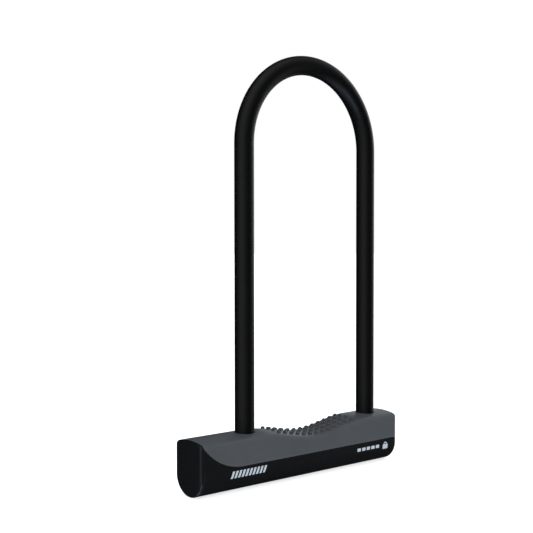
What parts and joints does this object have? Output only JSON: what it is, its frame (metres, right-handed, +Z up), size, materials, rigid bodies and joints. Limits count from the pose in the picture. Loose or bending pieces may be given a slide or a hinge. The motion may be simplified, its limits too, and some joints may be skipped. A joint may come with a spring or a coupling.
{
  "type": "bicycle u-lock",
  "caption": "Bicycle U-lock: vinyl-sleeved steel shackle, crossbar with keyed end, helical drive drum and sliding plate that grips both shackle feet, swinging end cover.",
  "frame": {"origin": "middle of the crossbar's underside", "axes": "+Z up along the shackle's legs, X along the crossbar with the keyed end at -X, Y through its thickness"},
  "size_m": [0.19, 0.03, 0.3099],
  "materials": {
    "grey_soft_plastic": "soft-touch matt mid grey",
    "black_plastic": "satin black moulded",
    "black_vinyl": "satin black vinyl sleeve",
    "black_rubber": "matt black",
    "white_nylon": "natural nylon",
    "pale_print": "printed on the plastic",
    "hardened_steel": "hardened, dark satin",
    "zinc_plated_steel": "bright zinc plate",
    "brass": "machined"
  },
  "bodies": {
    "crossbar": {"lower_housing": "black_plastic", "top_cover": "grey_soft_plastic", "crossbar_tube": "hardened_steel", "tube_end_plug": "hardened_steel", "leg_ferrule_left": "white_nylon", "leg_ferrule_right": "white_nylon", "leg_seal_left": "black_rubber", "leg_seal_right": "black_rubber", "plate_guide_1": "white_nylon", "plate_guide_2": "white_nylon", "plate_guide_3": "white_nylon", "housing_screw_1": "zinc_plated_steel", "housing_screw_2": "zinc_plated_steel", "end_bulkhead": "black_plastic", "drill_guard": "hardened_steel", "cylinder_housing": "zinc_plated_steel", "cylinder_roll_pin": "hardened_steel"},
    "key_plug": {"cylinder_plug": "brass", "lock_disc_1": "brass", "lock_disc_2": "brass", "lock_disc_3": "brass", "lock_disc_4": "brass", "lock_disc_5": "brass", "lock_disc_6": "brass", "lock_disc_7": "brass", "lock_disc_8": "brass", "sidebar": "hardened_steel", "plug_circlip": "hardened_steel", "drive_drum": "zinc_plated_steel"},
    "lock_bar": {"lock_plate": "zinc_plated_steel", "follower_pin_front": "hardened_steel", "follower_pin_rear": "hardened_steel"},
    "shackle": {"shackle_rod": "hardened_steel", "shackle_coating": "black_vinyl"},
    "end_cover": {"end_cover": "black_plastic", "end_cover_pivot": "hardened_steel", "pivot_clip": "hardened_steel"}
  },
  "joints": [
    {"name": "shackle_slide", "type": "slide", "parent": "crossbar", "child": "shackle", "axis": [0, 0, 1], "range_m": [0, 0.045]},
    {"name": "key_turn", "type": "hinge", "parent": "crossbar", "child": "key_plug", "pos_m": [-0.0919, 0, 0.0155], "axis": [1, 0, 0], "range_deg": [0, 90]},
    {"name": "plate_slide", "type": "slide", "parent": "crossbar", "child": "lock_bar", "axis": [1, 0, 0], "range_m": [0, 0.006]},
    {"name": "end_cover_swing", "type": "hinge", "parent": "crossbar", "child": "end_cover", "pos_m": [-0.0936, 0, 0.032], "axis": [1, 0, 0], "range_deg": [0, 170]}
  ],
  "couplings": [
    {"joint": "key_turn", "follows": "plate_slide", "rad_per_m": 261.79}
  ]
}
